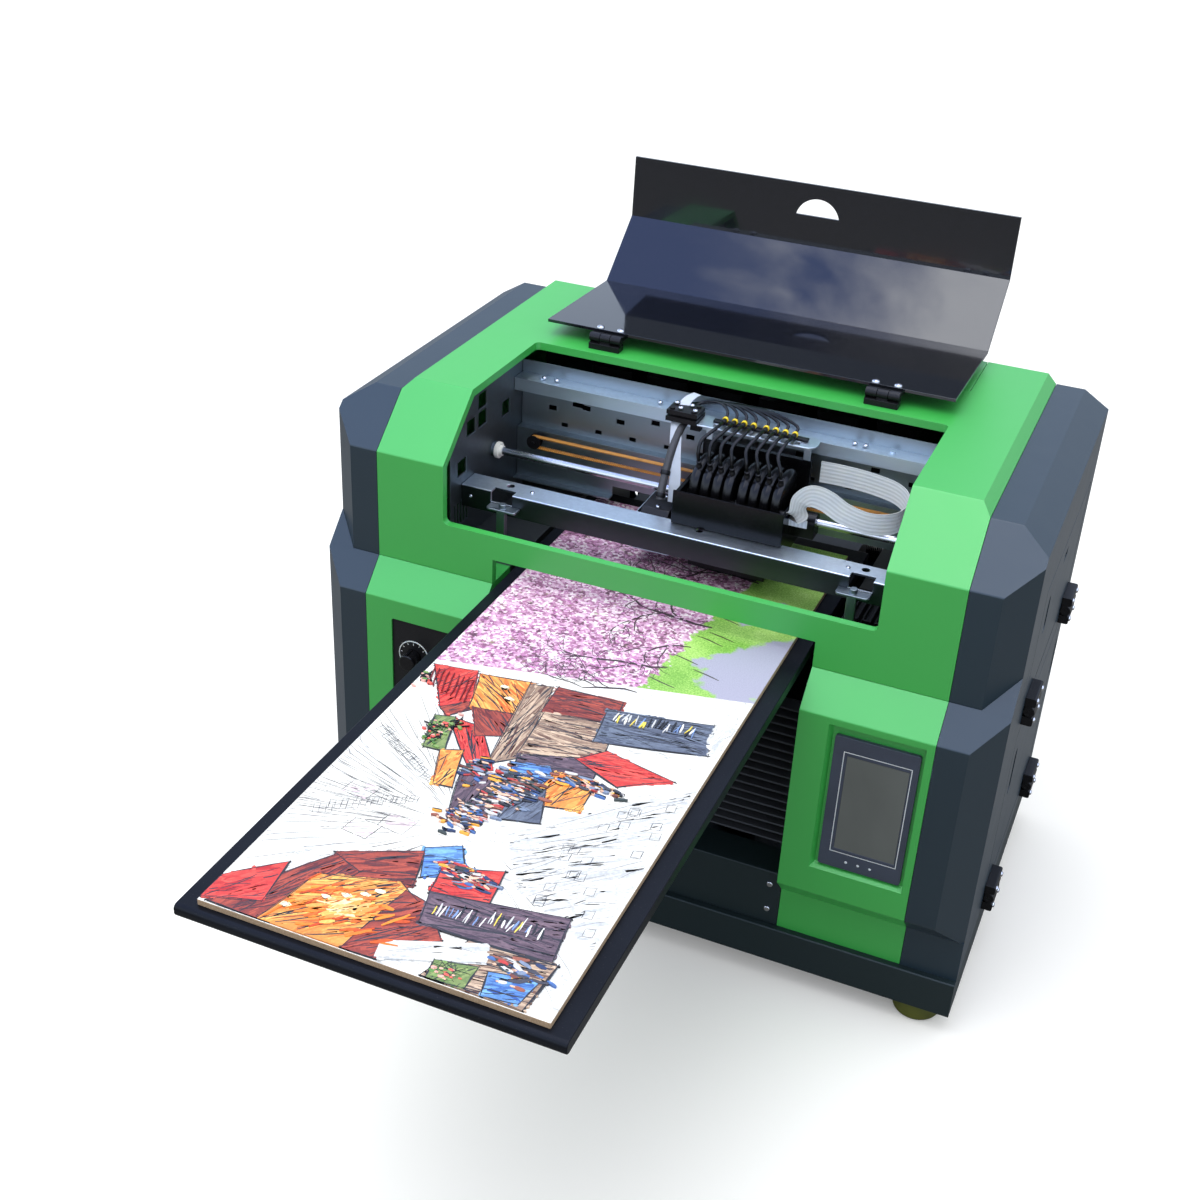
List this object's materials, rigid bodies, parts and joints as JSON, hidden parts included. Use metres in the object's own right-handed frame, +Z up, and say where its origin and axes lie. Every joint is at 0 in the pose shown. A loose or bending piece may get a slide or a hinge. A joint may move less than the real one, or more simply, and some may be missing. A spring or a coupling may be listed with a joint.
{
  "type": "flatbed uv printer",
  "caption": "Small-format flatbed UV printer: sliding and lifting bed, belt-driven carriage on a rod, folding acrylic lid, side service doors and touch panel",
  "frame": {"origin": "on the underside of the base tray, midway between the four feet", "axes": "+X to the operator's right, +Y to the back of the machine, +Z up; the bed is run out along -Y"},
  "size_m": [0.7822, 1.096, 0.756],
  "materials": {
    "base_grey": "powder coat",
    "cover_grey": "powder coat",
    "cover_green": "powder coat",
    "bed_black": "black anodised",
    "board": "printed fibre board",
    "galvanised": "zinc plated sheet",
    "bright_steel": "ground",
    "dark_steel": "satin",
    "black_plastic": "moulded",
    "gloss_black": "gloss",
    "smoked_acrylic": "polished",
    "screen": "matt film",
    "bezel": "textured",
    "rubber": "cast",
    "guard": "pleated",
    "belt": "toothed",
    "ribbon": "flat cable",
    "alloy": "milled"
  },
  "bodies": {
    "machine": {"base_frame": "base_grey", "feet": "rubber", "lower_cover_left": "cover_grey", "lower_cover_right": "cover_grey", "upper_cover_left": "cover_grey", "upper_cover_right": "cover_grey", "door_hinge_bases": "black_plastic", "hood": "cover_green", "ink_bay_cover": "cover_green", "pedestal_left": "cover_green", "pedestal_right": "cover_green", "lower_front_panel": "base_grey", "front_bellows": "guard", "rear_panel": "cover_grey", "touch_panel": "bezel", "touch_screen": "screen", "control_inset": "black_plastic", "panel_screws": "bright_steel", "lid_hinge_bases": "black_plastic", "lift_shafts": "bright_steel", "lift_motor": "dark_steel", "side_plate_left": "galvanised", "side_plate_right": "galvanised", "back_plate": "galvanised", "rear_rail": "galvanised", "front_rail": "galvanised", "rail_posts": "galvanised", "guide_rod": "bright_steel", "carriage_belt": "belt", "carriage_motor": "black_plastic", "capping_station": "black_plastic", "ffc_ribbon": "ribbon", "ink_bottles": "black_plastic", "ink_tray": "galvanised", "power_supply": "alloy"},
    "upper_door": {"door_upper": "cover_grey", "door_upper_leaves": "black_plastic"},
    "lower_door": {"door_lower": "cover_grey", "door_lower_leaves": "black_plastic"},
    "dial": {"dial_knob": "gloss_black"},
    "lid": {"lid": "smoked_acrylic", "lid_hinge_leaves": "black_plastic"},
    "lift": {"lift_table": "dark_steel", "y_beam": "dark_steel", "bearing_blocks": "bright_steel"},
    "bed": {"bed_plate": "bed_black", "print_board": "board", "bed_rails": "bright_steel"},
    "bed_drive_screw": {"bed_screw": "bright_steel"},
    "lift_drive_screw": {"lift_screw": "bright_steel"},
    "idler": {"idler_pulley": "black_plastic"},
    "drive": {"drive_pulley": "black_plastic"},
    "carriage": {"carriage_body": "gloss_black", "print_head": "alloy", "ink_dampers": "gloss_black", "damper_bracket": "bright_steel", "damper_tubes": "gloss_black", "cable_clamp": "black_plastic", "carriage_hose": "black_plastic", "uv_lamp": "alloy"}
  },
  "joints": [
    {"name": "lid_swing", "type": "hinge", "parent": "machine", "child": "lid", "pos_m": [0, 0.0388, 0.5894], "axis": [1, 0, 0], "range_deg": [0, 181.9]},
    {"name": "bed_lift", "type": "slide", "parent": "machine", "child": "lift", "axis": [0, 0, 1], "range_m": [-0.05, 0], "deforming": ["front_bellows"]},
    {"name": "bed_travel", "type": "slide", "parent": "lift", "child": "bed", "axis": [0, 1, 0], "range_m": [0, 0.5]},
    {"name": "carriage_travel", "type": "slide", "parent": "machine", "child": "carriage", "axis": [1, 0, 0], "range_m": [-0.18, 0.11]},
    {"name": "upper_door_swing", "type": "hinge", "parent": "machine", "child": "upper_door", "pos_m": [0.3912, 0.046, 0.3245], "axis": [0, 1, 0], "range_deg": [0, 90]},
    {"name": "lower_door_swing", "type": "hinge", "parent": "machine", "child": "lower_door", "pos_m": [0.3912, 0.046, 0.0695], "axis": [0, 1, 0], "range_deg": [0, 90]},
    {"name": "dial_turn", "type": "hinge", "parent": "machine", "child": "dial", "pos_m": [-0.263, -0.25, 0.287], "axis": [0, -1, 0], "range_deg": [-135, 135]},
    {"name": "bed_screw_turn", "type": "hinge", "parent": "lift", "child": "bed_drive_screw", "pos_m": [0, -0.1, 0.333], "axis": [0, 1, 0], "continuous": true},
    {"name": "lift_screw_turn", "type": "hinge", "parent": "machine", "child": "lift_drive_screw", "pos_m": [0.066, 0.01, 0.172], "axis": [0, 0, 1], "continuous": true},
    {"name": "idler_turn", "type": "hinge", "parent": "machine", "child": "idler", "pos_m": [-0.226, -0.012, 0.467], "axis": [0, 1, 0], "continuous": true},
    {"name": "drive_turn", "type": "hinge", "parent": "machine", "child": "drive", "pos_m": [0.226, -0.012, 0.467], "axis": [0, 1, 0], "continuous": true}
  ],
  "couplings": [
    {"joint": "bed_screw_turn", "follows": "bed_travel", "rad_per_m": 628.32},
    {"joint": "lift_screw_turn", "follows": "bed_lift", "rad_per_m": 785.4},
    {"joint": "idler_turn", "follows": "carriage_travel", "rad_per_m": -151.51},
    {"joint": "drive_turn", "follows": "carriage_travel", "rad_per_m": -151.51}
  ]
}
